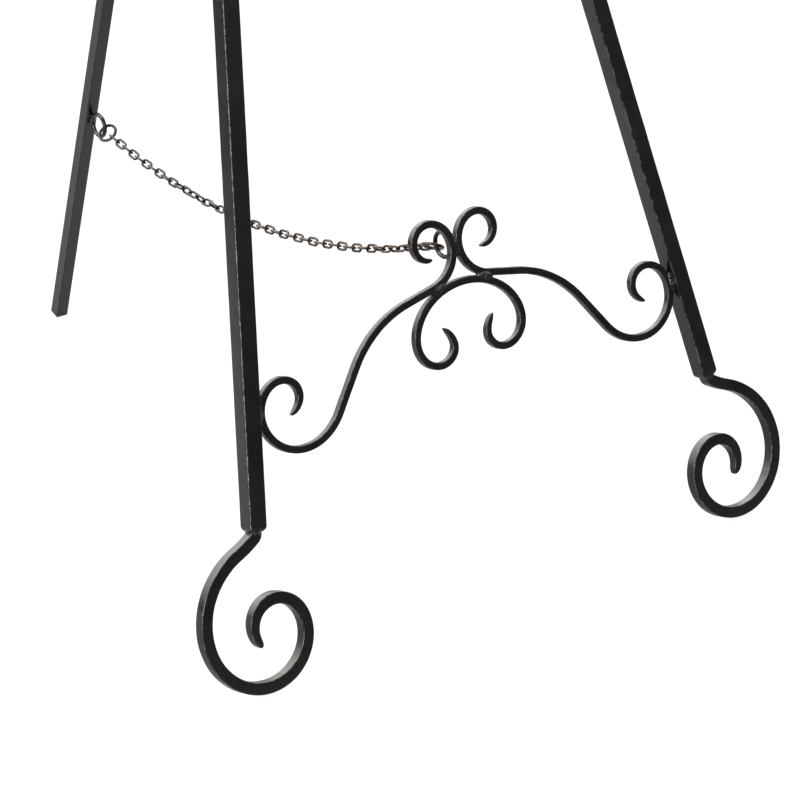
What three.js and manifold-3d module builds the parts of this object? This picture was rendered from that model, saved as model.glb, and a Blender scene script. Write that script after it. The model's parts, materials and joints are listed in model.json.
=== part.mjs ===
// Floor display easel of square iron bar: a splayed front frame on scroll feet, a scrolled crossbar,
// a hinged rear leg held by a chain, and two picture brackets that slide on the front legs.
// Millimetres, +Z up. The front frame stands across X and faces -Y; X = 0 is the plane of symmetry.
// The origin is on the floor, in the middle of the ground that the easel covers.
import * as THREE from 'three';
import { mergeVertices } from 'three/addons/utils/BufferGeometryUtils.js';
import Module from 'manifold-3d';

const wasm = await Module();
wasm.setup();

const { PI, sin, cos, tan, abs, min, ceil, sinh, cosh, asinh, atan2 } = Math;
const radians = THREE.MathUtils.degToRad;

// ---- driving dimensions ----
const weldGap = 0.3; // space left between two pieces that a weld joins
const facet = 12; // degrees of turn in one facet of a bent bar
const roundSegments = 16; // in the rim of a small round feature

// stances
const frameLean = radians(16.9); // front frame, back from the vertical
const legSplay = radians(9.06); // each front leg, inward from the frame's centre line
const rearLean = radians(17.3); // rear leg, forward from the vertical
const rearReach = 739; // from the front frame to the rear foot, on the floor

// bar stock
const legBar = 16;
const footBar = 10.3;
const crossBar = 6.4;
const rearBar = 12.7;
const armBar = 8;

// front legs: centre of the lower end, in the frame's own plane (x across, y up the frame)
const legFoot = { x: 242.2, y: 133.5 };
const legEndChamfer = { along: 2.2, across: 1.3 }; // the corners ground off each end

// scrolls, drawn as bends: { turn in degrees, left positive, radius from and to } or { run: a straight }
const footScroll = {
  bar: footBar,
  start: { x: 245.8, y: 127 },
  heading: -32.5,
  taperEnd: 42,
  bends: [
    { turn: 11.5, from: 90, to: 90 },
    { turn: -77, from: 73.5, to: 56.5 },
    { turn: -90, from: 56.5, to: 46.5 },
    { turn: -90, from: 46.5, to: 33.5 },
    { turn: -90, from: 33.5, to: 22 },
    { turn: -90, from: 22, to: 22 },
    { turn: -32, from: 22, to: 23 },
  ],
};
const sideScroll = {
  bar: crossBar,
  start: { x: 188, y: 214 },
  heading: 157.5,
  taperStart: 26,
  taperEnd: 26,
  bends: [
    { turn: -52, from: 23, to: 13 },
    { turn: -90, from: 13, to: 17.5 },
    { turn: -90, from: 17.5, to: 28 },
    { turn: -90, from: 28, to: 39.5 },
    { turn: -69.5, from: 39.5, to: 51 },
    { run: 37.5 },
    { turn: 42.5, from: 99.5, to: 99.5 },
    { run: 30.5 },
    { turn: -91.5, from: 35.5, to: 25.5 },
    { turn: -90, from: 25.5, to: 17.5 },
    { turn: -90, from: 17.5, to: 14 },
    { turn: -85, from: 14, to: 14.5 },
  ],
};
const centerHalf = {
  bar: crossBar,
  start: { x: 0, y: 278.5 },
  heading: 0,
  taperEnd: 26,
  bends: [
    { turn: -90, from: 73.5, to: 23.5 },
    { turn: -90, from: 23.5, to: 19.5 },
    { turn: -90, from: 19.5, to: 11 },
    { turn: -48.5, from: 11, to: 33.5 },
  ],
};
const topScroll = {
  bar: footBar,
  heading: 90 + THREE.MathUtils.radToDeg(legSplay),
  taperEnd: 42,
  bends: [
    { turn: 14, from: 60, to: 60 },
    { turn: -113, from: 44, to: 36 },
    { turn: -90, from: 36, to: 27 },
    { turn: -90, from: 27, to: 20 },
    { turn: -75, from: 20, to: 17 },
  ],
};
const tipWidth = 0.45; // of the bar's width left at a drawn-out tip
const tipDepth = 0.7; // of the bar's depth left there

// rear leg hinge
const pivotSetback = 17; // hinge pin behind the frame's mid plane
const earThickness = 3;
const earRadius = 8;
const earPlay = 0.5; // rear leg to ear, on each side
const pinRadius = 3;
const pinHole = 3.35;
const pinBeyondNut = 3;
const washer = { thickness: 1.2, radius: 6.5 };
const nut = { thickness: 5, across: 10 };
const boltHead = { radius: 6, height: 3.6 };

// picture brackets
const bracketHeight = 690; // centre of the sleeve, up the frame
const sleeveHeight = 30;
const sleeveWall = 3;
const sleevePlay = 0.4;
const armReach = 42;
const armAboveSleeveEnd = 2;
const boss = { length: 6, radius: 6.5 };
const screwCollar = { radius: 5, length: 5, standOff: 3 };
const wing = { span: 15, root: 3.5, reach: 14, thickness: 3 };
const armTip = [
  { turn: 90, from: 9, to: 9 },
  { run: 12 },
  { turn: -200, from: 8, to: 6.5 },
];

// chain and rings
const eyeRadius = 10.7; // to the middle of the wire
const eyeWire = 4;
const eyeHeight = 309.4; // front eye ring, up the frame
const rearEyeHeight = 248; // rear eye ring, up the rear leg
const ringRadius = 8.6;
const ringWire = 3;
const frontRingDip = radians(-23.5); // slope of each joining ring, from its eye ring towards the chain
const rearRingDip = radians(-11.6);
const rearRingTwist = radians(38);
const linkWire = 1.9;
const linkWidth = 9.5;
const linkReach = 12.91; // between the wire centres of a link's two ends
const runLinks = [5, 5, 5, 5, 4, 2, 5, 5, 5, 4]; // links in each run, from the front ring to the rear one
const linkBite = 0.5; // how deep the links of one run sink into each other, as a run is one solid
const hingePlay = 0.4; // between the links at a run's end

// ---- materials ----
const paint = (color, roughness) => new THREE.MeshStandardMaterial({ color, roughness, metalness: 0.4 });
const blackBar = paint(0x24211f, 0.5);
const blackFitting = paint(0x2a2725, 0.45);
const chainSteel = new THREE.MeshStandardMaterial({ color: 0x3b2d24, roughness: 0.45, metalness: 0.8 });

// ---- drawing a bent bar ----
// Walks through a list of bends and returns the stations of the centre line, each with its heading.
function walk({ start = { x: 0, y: 0 }, heading, bends }) {
  const stations = [{ x: start.x, y: start.y, heading: radians(heading), along: 0 }];
  const step = (chord, turn, arc) => {
    const last = stations[stations.length - 1];
    const middle = last.heading + turn / 2;
    stations.push({
      x: last.x + chord * cos(middle),
      y: last.y + chord * sin(middle),
      heading: last.heading + turn,
      along: last.along + arc,
    });
  };
  for (const bend of bends) {
    if (bend.run) {
      step(bend.run, 0, bend.run);
      continue;
    }
    const steps = ceil(abs(bend.turn) / facet);
    const turn = radians(bend.turn) / steps;
    for (let i = 0; i < steps; i++) {
      const radius = bend.from + ((bend.to - bend.from) * (i + 0.5)) / steps;
      step(2 * radius * sin(abs(turn) / 2), turn, radius * abs(turn));
    }
  }
  return stations;
}

// Gives every station its width and depth, thinned towards the ends that are drawn out to a tip.
function thin(stations, { bar, taperStart = 0, taperEnd = 0 }) {
  const length = stations[stations.length - 1].along;
  const share = (distance, taper) => (taper ? min(1, distance / taper) : 1);
  return stations.map((station) => {
    const full = min(share(station.along, taperStart), share(length - station.along, taperEnd));
    return {
      ...station,
      width: bar * (tipWidth + (1 - tipWidth) * full ** 0.5),
      depth: bar * (tipDepth + (1 - tipDepth) * full ** 0.5),
    };
  });
}

// Shortest distance between the path's edge and the line x = 0.
const reachToCenter = (stations, bar) => min(...stations.map((station) => station.x)) - bar / 2;

function mirrored(stations) {
  return stations.map((station) => ({ ...station, x: -station.x, heading: PI - station.heading }));
}

// Joins rings of points into one closed surface; the rings turn left about their direction of travel.
function skin(rings) {
  const count = rings[0].length;
  const position = rings.flat(2);
  const index = [];
  for (let i = 0; i + 1 < rings.length; i++) {
    for (let j = 0; j < count; j++) {
      const a = i * count + j;
      const b = i * count + ((j + 1) % count);
      index.push(a, b, b + count, a, b + count, a + count);
    }
  }
  const end = (rings.length - 1) * count;
  for (let j = 1; j + 1 < count; j++) {
    index.push(0, j + 1, j);
    index.push(end, end + j, end + j + 1);
  }
  const geometry = new THREE.BufferGeometry();
  geometry.setAttribute('position', new THREE.Float32BufferAttribute(position, 3));
  geometry.setIndex(index);
  return geometry;
}

// Square bar along planar stations: width lies in the plane of the bends, depth across it (Z).
function squareBar(stations) {
  const corners = [[1, -1], [1, 1], [-1, 1], [-1, -1]];
  return skin(
    stations.map(({ x, y, heading, width, depth }) =>
      corners.map(([across, out]) => [
        x - (across * width * sin(heading)) / 2,
        y + (across * width * cos(heading)) / 2,
        (out * depth) / 2,
      ]),
    ),
  );
}

// ---- booleans ----
function toSolid(geometry) {
  const bare = geometry.clone();
  bare.deleteAttribute('normal');
  bare.deleteAttribute('uv');
  const merged = mergeVertices(bare, 1e-4);
  return new wasm.Manifold(
    new wasm.Mesh({
      numProp: 3,
      vertProperties: new Float32Array(merged.attributes.position.array),
      triVerts: new Uint32Array(merged.index.array),
    }),
  );
}

function toGeometry(solid) {
  const { vertProperties, triVerts } = solid.getMesh();
  const geometry = new THREE.BufferGeometry();
  geometry.setAttribute('position', new THREE.BufferAttribute(vertProperties, 3));
  geometry.setIndex(new THREE.BufferAttribute(triVerts, 1));
  return geometry;
}

const joined = (geometries) => toGeometry(geometries.map(toSolid).reduce((a, b) => a.add(b)));
const cut = (geometry, tool) => toGeometry(toSolid(geometry).subtract(toSolid(tool)));

// ---- placing ----
const easel = new THREE.Group();
const frontFrame = new THREE.Group(); // x across, y up the frame, z out of its front
const rearLeg = new THREE.Group(); // origin at the hinge pin, y up the leg, z out of its front
easel.add(frontFrame, rearLeg);

function place(parent, name, geometry, material, x = 0, y = 0, z = 0) {
  const mesh = new THREE.Mesh(geometry, material);
  mesh.name = name;
  mesh.position.set(x, y, z);
  parent.add(mesh);
  return mesh;
}

const sides = [['left', -1], ['right', 1]];

// The frame stands on the rear lower edges of its foot scrolls.
const footPath = walk(footScroll);
const footLow = min(...footPath.map((station) => station.y));
const frameRise = (footBar / 2) * (cos(frameLean) + sin(frameLean)) - footLow * cos(frameLean);
frontFrame.rotation.x = PI / 2 - frameLean;
frontFrame.position.z = frameRise;

// World Y and Z of a point of the frame's centre plane, y up the frame and z out of its front.
const inWorld = (y, z) => ({
  y: y * sin(frameLean) - z * cos(frameLean),
  z: y * cos(frameLean) + z * sin(frameLean) + frameRise,
});

// ---- front legs ----
const topPath = walk(topScroll);
const legTopX = weldGap / 2 - reachToCenter(topPath, footBar);
const legLength = (legFoot.x - legTopX) / sin(legSplay);
const legXAt = (y) => legFoot.x - (y - legFoot.y) * tan(legSplay);

function frontLeg() {
  const station = (along, width) => ({ x: 0, y: along, heading: PI / 2, width, depth: width });
  const blunt = legBar - 2 * legEndChamfer.across;
  return squareBar([
    station(0, blunt),
    station(legEndChamfer.along, legBar),
    station(legLength - legEndChamfer.along, legBar),
    station(legLength, blunt),
  ]);
}

for (const [name, side] of sides) {
  const leg = place(frontFrame, `front_leg_${name}`, frontLeg(), blackBar, side * legFoot.x, legFoot.y);
  leg.rotation.z = side * legSplay;
}

// ---- scrolls ----
function pair(name, stations, options) {
  const thinned = thin(stations, options);
  place(frontFrame, `${name}_right`, squareBar(thinned), blackBar);
  place(frontFrame, `${name}_left`, squareBar(mirrored(thinned)), blackBar);
}

// Moves a path so that its bar meets its mirror twin on the centre line.
function meetTwin(stations, bar) {
  const shift = weldGap / 2 - reachToCenter(stations, bar);
  return stations.map((station) => ({ ...station, x: station.x + shift }));
}

function centerScroll() {
  const right = thin(walk(centerHalf), centerHalf);
  const left = mirrored(right).reverse().slice(0, -1);
  const turned = left.map((station) => ({ ...station, heading: station.heading + PI }));
  return squareBar([...turned, ...right]);
}

pair('foot_scroll', footPath, footScroll);
pair('side_scroll', meetTwin(walk(sideScroll), crossBar), sideScroll);
place(frontFrame, 'center_scroll', centerScroll(), blackBar);

const legTopY = legFoot.y + legLength * cos(legSplay);
const topStart = {
  x: legTopX - weldGap * sin(legSplay),
  y: legTopY + weldGap * cos(legSplay),
};
const topStations = walk({ ...topScroll, start: topStart });
pair('top_scroll', topStations, topScroll);

function roundHole(radius) {
  const rim = new THREE.EllipseCurve(0, 0, radius, radius).getPoints(roundSegments);
  return new THREE.Path(rim.slice(0, -1));
}

// ---- rear leg hinge ----
// The pin lies where the rear leg's line crosses the line set back behind the frame.
const setback = inWorld(0, -pivotSetback);
const spread = rearReach - setback.y - setback.z * tan(rearLean);
const pivotY = spread / (sin(frameLean) + cos(frameLean) * tan(rearLean));
const pivot = inWorld(pivotY, -pivotSetback);
const rearLength = pivot.z / cos(rearLean) - (rearBar / 2) * tan(rearLean);

function hingeBar() {
  const half = rearBar / 2;
  const inner = (y) => legXAt(y) - legBar / 2 / cos(legSplay) - weldGap;
  const low = inner(pivotY - half);
  const high = inner(pivotY + half);
  const outline = new THREE.Shape();
  outline.moveTo(-low, -half).lineTo(low, -half).lineTo(high, half).lineTo(-high, half).closePath();
  const geometry = new THREE.ExtrudeGeometry(outline, { depth: rearBar, bevelEnabled: false });
  return geometry.translate(0, 0, -half);
}

// Flat ear with a round end about the pin; drawn from above X, extruded along X.
function hingeEar() {
  const root = pivotSetback - rearBar / 2 - weldGap;
  const outline = new THREE.Shape();
  outline.moveTo(root, -earRadius).lineTo(root, earRadius);
  outline.absarc(0, 0, earRadius, PI / 2, (3 * PI) / 2, false).closePath();
  outline.holes.push(roundHole(pinHole));
  const options = { depth: earThickness, bevelEnabled: false, curveSegments: 10 };
  return new THREE.ExtrudeGeometry(outline, options)
    .translate(0, 0, -earThickness / 2)
    .rotateY(-PI / 2);
}

// Turns a profile of [radius, place along X] about the X axis.
function turned(profile) {
  const points = profile.map(([radius, along]) => new THREE.Vector2(radius, along));
  return new THREE.LatheGeometry(points, roundSegments).rotateZ(-PI / 2);
}

place(frontFrame, 'hinge_bar', hingeBar(), blackBar, 0, pivotY);
const earX = rearBar / 2 + earPlay + earThickness / 2;
for (const [name, side] of sides) {
  place(frontFrame, `hinge_ear_${name}`, hingeEar(), blackFitting, side * earX, pivotY, -pivotSetback);
}

const earFace = earX + earThickness / 2 + weldGap;
const headFace = earFace + washer.thickness + weldGap;
const pinLength = 2 * headFace + nut.thickness + pinBeyondNut;

// Closed profile of a plain tube, for turning about its own length.
function tube(bore, radius, from, to) {
  return [[bore, from], [radius, from], [radius, to], [bore, to], [bore, from]];
}

function hingeWasher() {
  const half = washer.thickness / 2;
  return turned(tube(pinHole, washer.radius, -half, half));
}

function hingeBolt() {
  const dome = [];
  const steps = 3;
  for (let i = 0; i <= steps; i++) {
    const angle = (i * PI) / 2 / steps;
    dome.push([boltHead.radius * sin(angle), -boltHead.height * cos(angle)]);
  }
  return turned([...dome, [pinRadius, 0], [pinRadius, pinLength], [0, pinLength]]);
}

function hingeNut() {
  const outline = new THREE.Shape();
  for (let i = 0; i < 6; i++) {
    const angle = (i * PI) / 3;
    const corner = nut.across / 2 / cos(PI / 6);
    const go = i ? 'lineTo' : 'moveTo';
    outline[go](corner * cos(angle), corner * sin(angle));
  }
  outline.closePath();
  outline.holes.push(roundHole(pinHole));
  const options = { depth: nut.thickness, bevelEnabled: false };
  return new THREE.ExtrudeGeometry(outline, options).rotateY(PI / 2);
}

const washerX = earFace + washer.thickness / 2;
place(frontFrame, 'hinge_bolt', hingeBolt(), blackFitting, -headFace, pivotY, -pivotSetback);
place(frontFrame, 'hinge_washer_left', hingeWasher(), blackFitting, -washerX, pivotY, -pivotSetback);
place(frontFrame, 'hinge_washer_right', hingeWasher(), blackFitting, washerX, pivotY, -pivotSetback);
place(frontFrame, 'hinge_nut', hingeNut(), blackFitting, headFace, pivotY, -pivotSetback);

// Plain bar with a round drilled head; drawn from the side and extruded across.
function rearLegBar() {
  const half = rearBar / 2;
  const outline = new THREE.Shape();
  outline.moveTo(half, -rearLength).lineTo(-half, -rearLength);
  outline.absarc(0, 0, half, PI, 0, true).closePath();
  outline.holes.push(roundHole(pinHole));
  const options = { depth: rearBar, bevelEnabled: false, curveSegments: 10 };
  return new THREE.ExtrudeGeometry(outline, options).translate(0, 0, -half).rotateY(-PI / 2);
}

rearLeg.position.set(0, pivot.y, pivot.z);
rearLeg.rotation.x = PI / 2 + rearLean;
place(rearLeg, 'rear_leg', rearLegBar(), blackBar);

// ---- picture brackets ----
function sleeve() {
  const bore = legBar / 2 + sleevePlay;
  const outer = bore + sleeveWall;
  const square = (Path, size) =>
    new Path().moveTo(size, -size).lineTo(size, size).lineTo(-size, size).lineTo(-size, -size).closePath();
  const outline = square(THREE.Shape, outer);
  outline.holes.push(square(THREE.Path, bore));
  const collar = new THREE.ExtrudeGeometry(outline, { depth: sleeveHeight, bevelEnabled: false })
    .translate(0, 0, -sleeveHeight / 2)
    .rotateX(-PI / 2);
  const drill = new THREE.CylinderGeometry(pinHole, pinHole, 2 * sleeveWall, roundSegments)
    .rotateZ(-PI / 2)
    .translate(outer - sleeveWall / 2, 0, 0);
  return cut(collar, drill);
}

const sleeveOuter = legBar / 2 + sleevePlay + sleeveWall;
const screwBoss = () => turned(tube(pinHole, boss.radius, 0, boss.length));

// Screw along +X from its tip.
function screwShank(collarAt) {
  const collarEnd = collarAt + screwCollar.length;
  return turned([
    [0, legBar / 2 + weldGap],
    [pinRadius, legBar / 2 + weldGap],
    [pinRadius, collarAt],
    [screwCollar.radius, collarAt],
    [screwCollar.radius, collarEnd],
    [0, collarEnd],
  ]);
}

// The two wings are one flat bow across the screw's head, each swept out and away from the leg.
function screwWings(base) {
  const { span, root, reach, thickness } = wing;
  const curl = 0.4 * span;
  const middle = 0.6 * reach;
  const bow = new THREE.Shape();
  bow.moveTo(base, -root).quadraticCurveTo(base, -span, base + middle, -span);
  bow.quadraticCurveTo(base + reach, -span, base + reach, curl - span);
  bow.quadraticCurveTo(base + middle, -root, base + middle, 0);
  bow.quadraticCurveTo(base + middle, root, base + reach, span - curl);
  bow.quadraticCurveTo(base + reach, span, base + middle, span);
  bow.quadraticCurveTo(base, span, base, root);
  bow.closePath();
  const options = { depth: thickness, bevelEnabled: false, curveSegments: 5 };
  return new THREE.ExtrudeGeometry(bow, options).translate(0, 0, -thickness / 2);
}

function thumbscrew() {
  const collarAt = sleeveOuter + boss.length + screwCollar.standOff;
  return joined([screwShank(collarAt), screwWings(collarAt + 1)]);
}

// Arm in the plane across the frame: out from the sleeve, then curled up to hold the picture's edge.
function pictureArm() {
  const path = walk({ heading: 0, bends: [{ run: armReach }, ...armTip] });
  const stations = thin(path, { bar: armBar, taperEnd: 16 });
  return squareBar(stations).rotateY(-PI / 2);
}

for (const [name, side] of sides) {
  const leg = new THREE.Group();
  leg.position.set(side * legXAt(bracketHeight), bracketHeight, 0);
  leg.rotation.z = side * legSplay;
  const outward = new THREE.Group();
  outward.rotation.z = side > 0 ? 0 : PI;
  leg.add(outward);
  frontFrame.add(leg);
  place(outward, `picture_sleeve_${name}`, sleeve(), blackFitting);
  place(outward, `screw_boss_${name}`, screwBoss(), blackFitting, sleeveOuter + weldGap);
  place(outward, `thumbscrew_${name}`, thumbscrew(), blackFitting);
  const armDrop = sleeveHeight / 2 - armBar / 2 - armAboveSleeveEnd;
  const armX = side * (legXAt(bracketHeight) + armDrop * tan(legSplay));
  const armY = bracketHeight - armDrop;
  place(frontFrame, `picture_arm_${name}`, pictureArm(), blackBar, armX, armY, sleeveOuter + weldGap);
}

// ---- rings and chain, all hung in the plane X = 0 ----
const eyeSetOff = eyeRadius + eyeWire / 2 + weldGap;

const eyeRing = () => new THREE.TorusGeometry(eyeRadius, eyeWire / 2, 8, 24).rotateY(PI / 2);

const frontEyeZ = -(crossBar / 2 + eyeSetOff);
place(frontFrame, 'front_eye_ring', eyeRing(), blackFitting, 0, eyeHeight, frontEyeZ);
const rearEyeY = rearEyeHeight - rearLength;
const rearEyeZ = rearBar / 2 + eyeSetOff;
place(rearLeg, 'rear_eye_ring', eyeRing(), blackFitting, 0, rearEyeY, rearEyeZ);

const frontEye = inWorld(eyeHeight, frontEyeZ);
const rearEye = {
  y: pivot.y - rearEyeY * sin(rearLean) - rearEyeZ * cos(rearLean),
  z: pivot.z + rearEyeY * cos(rearLean) - rearEyeZ * sin(rearLean),
};

// Places a joining ring hooked through an eye ring and pulled along a slope; backward is +1 towards +Y.
const hookDepth = eyeRadius - eyeWire / 2 - ringWire / 2 - hingePlay;
function joiningRing(name, eye, backward, dip, twist) {
  const along = { y: backward * cos(dip), z: sin(dip) };
  const near = { y: eye.y + along.y * hookDepth, z: eye.z + along.z * hookDepth };
  const holder = new THREE.Group();
  holder.position.set(0, near.y, near.z);
  holder.rotation.x = atan2(along.z, along.y);
  easel.add(holder);
  const ring = new THREE.TorusGeometry(ringRadius, ringWire / 2, 6, 20).translate(0, ringRadius, 0);
  place(holder, name, ring.rotateY(twist), blackFitting);
  return { y: near.y + along.y * 2 * ringRadius, z: near.z + along.z * 2 * ringRadius };
}
const chainStart = joiningRing('front_joining_ring', frontEye, 1, frontRingDip, 0);
const chainEnd = joiningRing('rear_joining_ring', rearEye, -1, rearRingDip, rearRingTwist);

// Points round the wire of a link, at an angle along the half circle about centerY that ends it.
function wireSection(centerY, bend, angle) {
  const sides = 5;
  const points = [];
  for (let i = 0; i < sides; i++) {
    const around = (-2 * PI * i) / sides;
    const radius = bend + (linkWire / 2) * cos(around);
    points.push([radius * cos(angle), centerY + radius * sin(angle), (linkWire / 2) * sin(around)]);
  }
  return points;
}

// One oval link lying along +Y from its near end's wire centre, flat in the plane of X and Y.
function link() {
  const bend = (linkWidth - linkWire) / 2;
  const arcSteps = 4;
  const rings = [];
  for (const [centerY, from] of [[linkReach - bend, 0], [bend, PI]]) {
    for (let i = 0; i <= arcSteps; i++) {
      rings.push(wireSection(centerY, bend, from + (i * PI) / arcSteps));
    }
  }
  return loop(rings);
}

// Joins rings of points into one closed loop.
function loop(rings) {
  const geometry = skin([...rings, rings[0]]);
  const caps = 2 * (rings[0].length - 2) * 3;
  const index = Array.from(geometry.index.array).slice(0, -caps);
  geometry.setIndex(index);
  return mergeVertices(geometry, 1e-4);
}

// Links stand upright and lie flat by turns, and both end links stand upright.
const isUpright = (number) => number % 2 === 0;
const linkStep = linkReach - linkWire + linkBite;

// A run of links as one solid, along +Y from its hinge.
function chainRun({ firstNumber, links, hookBack }) {
  const pieces = [];
  for (let i = 0; i < links; i++) {
    const piece = link();
    if (isUpright(firstNumber + i)) {
      piece.rotateY(PI / 2);
    }
    pieces.push(piece.translate(0, i * linkStep - hookBack, 0));
  }
  return joined(pieces);
}

// Flat links carry the hinges, at the wire centre of their end, and upright links hook over them.
const linkHook = linkWire + hingePlay;
const ringHook = (linkWire + ringWire) / 2 + hingePlay;
const runs = [];
let linkNumber = 0;
runLinks.forEach((links, i) => {
  const firstNumber = linkNumber;
  linkNumber += links;
  const upright = { first: isUpright(firstNumber), last: isUpright(linkNumber - 1) };
  const hookBack = i === 0 ? ringHook : upright.first ? linkHook : 0;
  const hookAhead = i === runLinks.length - 1 ? ringHook : upright.last ? linkHook : 0;
  const body = linkReach + (links - 1) * linkStep;
  runs.push({ firstNumber, links, hookBack, length: body - hookBack - hookAhead });
});

// Catenary through two points for a given length: its size, lowest place and height.
function catenary(a, b, length) {
  const spanY = b.y - a.y;
  const spanZ = b.z - a.z;
  const target = (length ** 2 - spanZ ** 2) ** 0.5;
  let tight = spanY / 100;
  let slack = spanY * 100;
  while (slack - tight > 1e-9 * slack) {
    const size = (tight + slack) / 2;
    if (2 * size * sinh(spanY / (2 * size)) > target) {
      tight = size;
    } else {
      slack = size;
    }
  }
  const size = slack;
  const middle = (a.y + b.y) / 2;
  const lowest = middle - size * asinh(spanZ / (2 * size * sinh(spanY / (2 * size))));
  return { size, lowest, height: a.z - size * cosh((a.y - lowest) / size) };
}

const chainLength = runs.reduce((sum, run) => sum + run.length, 0);
const sag = catenary(chainStart, chainEnd, chainLength);
const sagAt = (arc) => {
  const startArc = sag.size * sinh((chainStart.y - sag.lowest) / sag.size);
  const y = sag.lowest + sag.size * asinh((startArc + arc) / sag.size);
  return { y, z: sag.height + sag.size * cosh((y - sag.lowest) / sag.size) };
};

let arc = 0;
runs.forEach((run, i) => {
  const from = sagAt(arc);
  arc += run.length;
  const to = sagAt(arc);
  const holder = new THREE.Group();
  holder.position.set(0, from.y, from.z);
  holder.rotation.x = atan2(to.z - from.z, to.y - from.y);
  easel.add(holder);
  place(holder, `chain_run_${i + 1}`, chainRun(run), chainSteel);
});

// Everything above is measured from the front feet; the origin belongs in the middle of the ground covered.
const covered = new THREE.Box3().setFromObject(easel, true);
easel.position.y = -(covered.min.y + covered.max.y) / 2;

export default easel;
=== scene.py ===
# Display easel of square iron bar: fine bars, welds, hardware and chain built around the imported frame.
# Metres, +Z up, the front facing -Y. Shapes and places come from the CAD nodes and joints.
import itertools
import json
import math

import bmesh
import bpy
import numpy as np
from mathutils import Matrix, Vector, noise


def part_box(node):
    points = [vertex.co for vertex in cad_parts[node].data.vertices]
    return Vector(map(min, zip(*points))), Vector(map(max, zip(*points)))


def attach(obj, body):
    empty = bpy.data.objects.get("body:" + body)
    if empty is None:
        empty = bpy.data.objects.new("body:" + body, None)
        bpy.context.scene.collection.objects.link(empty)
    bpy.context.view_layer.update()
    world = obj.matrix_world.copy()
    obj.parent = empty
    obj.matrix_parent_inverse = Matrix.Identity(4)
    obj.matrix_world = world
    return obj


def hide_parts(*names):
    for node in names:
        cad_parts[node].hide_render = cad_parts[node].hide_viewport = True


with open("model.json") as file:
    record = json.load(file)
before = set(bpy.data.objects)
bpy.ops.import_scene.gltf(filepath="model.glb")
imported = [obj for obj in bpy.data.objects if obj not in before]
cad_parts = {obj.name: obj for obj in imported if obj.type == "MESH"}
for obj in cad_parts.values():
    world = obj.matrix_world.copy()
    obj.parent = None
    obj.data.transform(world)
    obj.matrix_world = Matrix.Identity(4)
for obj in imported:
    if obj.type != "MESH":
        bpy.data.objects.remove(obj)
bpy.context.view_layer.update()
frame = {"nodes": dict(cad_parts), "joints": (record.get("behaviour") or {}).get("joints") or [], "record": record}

MM = 0.001
ACROSS = np.array([1.0, 0.0, 0.0])
SIDES = ("left", "right")
SLOT_OF = {part["node"]: part["material_slot"] for part in frame["record"]["subparts"]}
BODY_OF = {node: body for body, nodes in frame["record"]["behaviour"]["bodies"].items() for node in nodes}
PIN = {joint["name"]: np.array(joint["pos_m"]) for joint in frame["joints"] if "pos_m" in joint}
AXIS = {joint["name"]: np.array(joint["axis"]) for joint in frame["joints"]}


def unit(vector):
    """The vector at length 1."""
    return vector / np.linalg.norm(vector)


def across_to(vector, direction):
    """The part of a vector that is square to a direction."""
    return vector - (vector @ direction) * direction


# ---- reading the CAD nodes ----
SAME_POINT = 0.01 * MM  # corners closer than this are one corner
FLAT = 0.9999  # cosine between two triangles of one flat face
END_EDGE = 0.64  # cosine across the edges of a bar's end face is below this


def cad_surface(node_name):
    """Corner points of a CAD node, each once, and its triangles as numbers of those points."""
    mesh = frame["nodes"][node_name].data
    mesh.calc_loop_triangles()
    corners = np.array([vertex.co for vertex in mesh.vertices], float)
    grid = np.round(corners / SAME_POINT)
    _, first, same = np.unique(grid, axis=0, return_index=True, return_inverse=True)
    triangles = [same.ravel()[list(triangle.vertices)] for triangle in mesh.loop_triangles]
    return corners[first], np.array(triangles)


def rim(triangle):
    """The three edges of a triangle, each a pair of point numbers."""
    return [frozenset((triangle[i], triangle[i - 1])) for i in range(3)]


def end_face(triangles, sides_of, facing):
    """Four corners, in order, of a square end face: a flat pair of triangles with a sharp rim all round."""
    for diagonal, pair in sides_of.items():
        outer = [edge for side in pair for edge in rim(triangles[side]) if edge != diagonal]
        if facing[diagonal] > FLAT and all(facing[edge] < END_EDGE for edge in outer):
            first, second = (set(triangles[side]) - diagonal for side in pair)
            a, b = sorted(diagonal)
            return [a, first.pop(), b, second.pop()]
    raise ValueError("the bar has no square end face")


def in_order(points, ring, ahead):
    """The corners ahead, each in the place of the ring's corner that it continues."""
    offsets = points[ring] - points[ring].mean(axis=0)
    centre = points[sorted(ahead)].mean(axis=0)
    orders = (list(order) for order in itertools.permutations(sorted(ahead)))
    return min(orders, key=lambda order: np.sum((points[order] - centre - offsets) ** 2))


def bar_rings(node_name):
    """Follows a square CAD bar from end to end and returns its rings of four corners."""
    points, triangles = cad_surface(node_name)
    normals = [unit(np.cross(points[b] - points[a], points[c] - points[a])) for a, b, c in triangles]
    sides_of = {}
    for number, triangle in enumerate(triangles):
        for edge in rim(triangle):
            sides_of.setdefault(edge, []).append(number)
    facing = {edge: normals[pair[0]] @ normals[pair[1]] for edge, pair in sides_of.items()}
    beside = {}
    for edge in sides_of:
        for point in edge:
            beside.setdefault(point, set()).update(edge)
    rings = [end_face(triangles, sides_of, facing)]
    seen = set(rings[0])
    while len(seen) < len(points):
        ahead = {other for point in rings[-1] for other in beside[point]} - seen
        rings.append(in_order(points, rings[-1], ahead))
        seen |= ahead
    return [points[ring] for ring in rings]


def extent(node_name, origin, direction):
    """Nearest and farthest place of a node along an axis, and its largest radius about it."""
    points, _ = cad_surface(node_name)
    along = (points - origin) @ direction
    radius = np.linalg.norm(points - origin - np.outer(along, direction), axis=1)
    return along.min(), along.max(), radius.max()


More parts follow.
